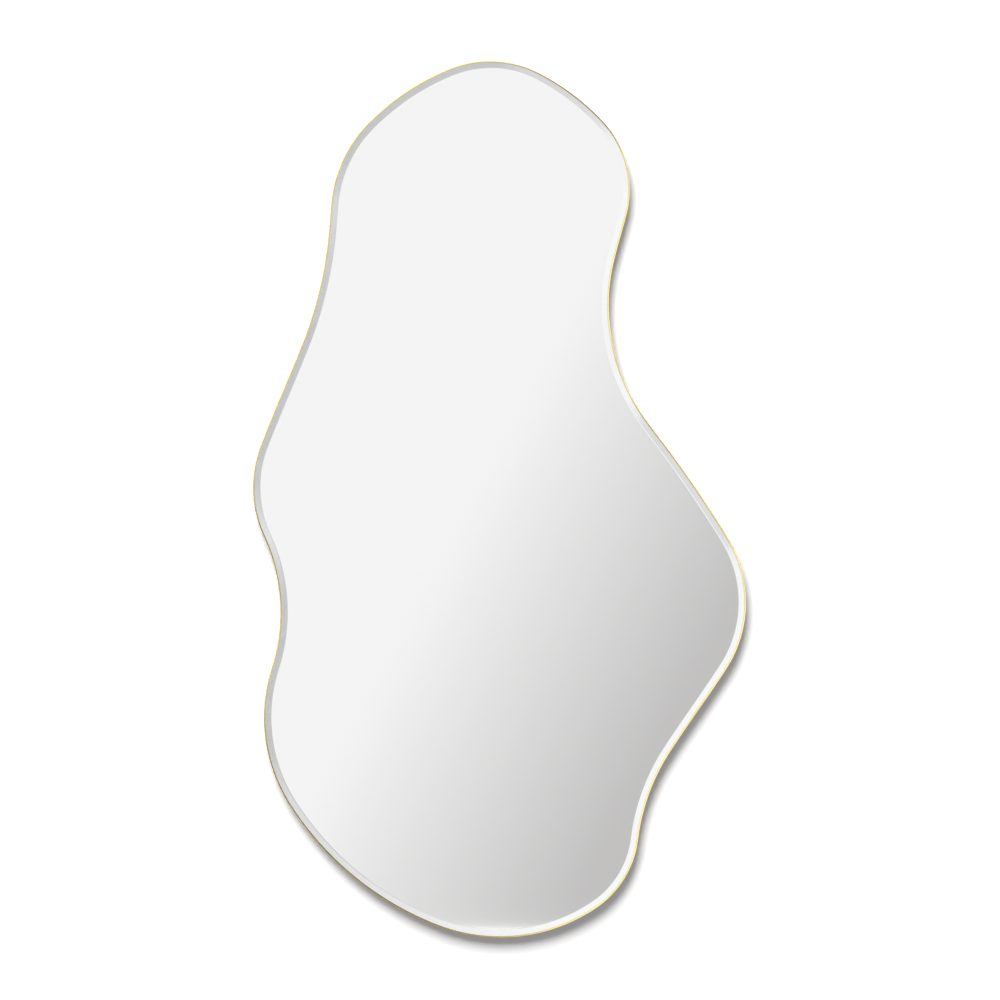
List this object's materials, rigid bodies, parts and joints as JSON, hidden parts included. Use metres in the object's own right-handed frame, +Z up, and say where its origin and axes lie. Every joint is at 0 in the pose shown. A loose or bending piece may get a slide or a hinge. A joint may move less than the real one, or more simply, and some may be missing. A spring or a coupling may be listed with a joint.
{
  "type": "irregular wall mirror",
  "caption": "Tall wall mirror with a free-form outline of lobes and hollows, a bevelled glass pane in a thin gold metal frame, and strap hangers with D rings on its backing board.",
  "frame": {"origin": "middle of the mirror's box, halfway through its depth with the wall pads", "axes": "+Z up; +Y towards the wall behind, so the pane faces -Y; +X to the right as seen from the front"},
  "size_m": [0.45, 0.0202, 0.8],
  "materials": {
    "pane_glass": "polished float glass, bevelled all round",
    "silvering": "silvered back of the pane with its protective film",
    "gold_strip": "polished gold-coloured metal",
    "zinc_plate": "zinc-plated",
    "screw_steel": "zinc-plated",
    "hanger_steel": "nickel-plated, satin",
    "ring_steel": "nickel-plated wire",
    "board": "raw medium-density fibreboard",
    "tape": "white foam tape",
    "adhesive": "cured mirror adhesive",
    "pad_rubber": "matte black"
  },
  "bodies": {
    "mirror": {"frame_left": "gold_strip", "frame_right": "gold_strip", "splice_plate_top": "zinc_plate", "splice_plate_bottom": "zinc_plate", "board_screws_left": "screw_steel", "board_screws_right": "screw_steel", "splice_screws_top": "screw_steel", "splice_screws_bottom": "screw_steel", "hanger_screws_left": "screw_steel", "hanger_screws_right": "screw_steel", "backing_board": "board", "mounting_tape_1": "tape", "mounting_tape_2": "tape", "mounting_tape_3": "tape", "mounting_tape_4": "tape", "mounting_tape_5": "tape", "adhesive_dabs": "adhesive", "silver_backing": "silvering", "mirror_pane": "pane_glass", "hanger_strap_left": "hanger_steel", "hanger_strap_right": "hanger_steel", "wall_pad_upper_left": "pad_rubber", "wall_pad_upper_right": "pad_rubber", "wall_pad_lower_left": "pad_rubber", "wall_pad_lower_right": "pad_rubber"},
    "ring_left": {"hanger_ring_left": "ring_steel"},
    "ring_right": {"hanger_ring_right": "ring_steel"}
  },
  "joints": [
    {"name": "ring_left_hinge", "type": "hinge", "parent": "mirror", "child": "ring_left", "pos_m": [-0.087, 0.00646, 0.19], "axis": [-1, 0, 0], "range_deg": [-3, 178]},
    {"name": "ring_right_hinge", "type": "hinge", "parent": "mirror", "child": "ring_right", "pos_m": [0.053, 0.00646, 0.19], "axis": [-1, 0, 0], "range_deg": [-3, 178]}
  ]
}
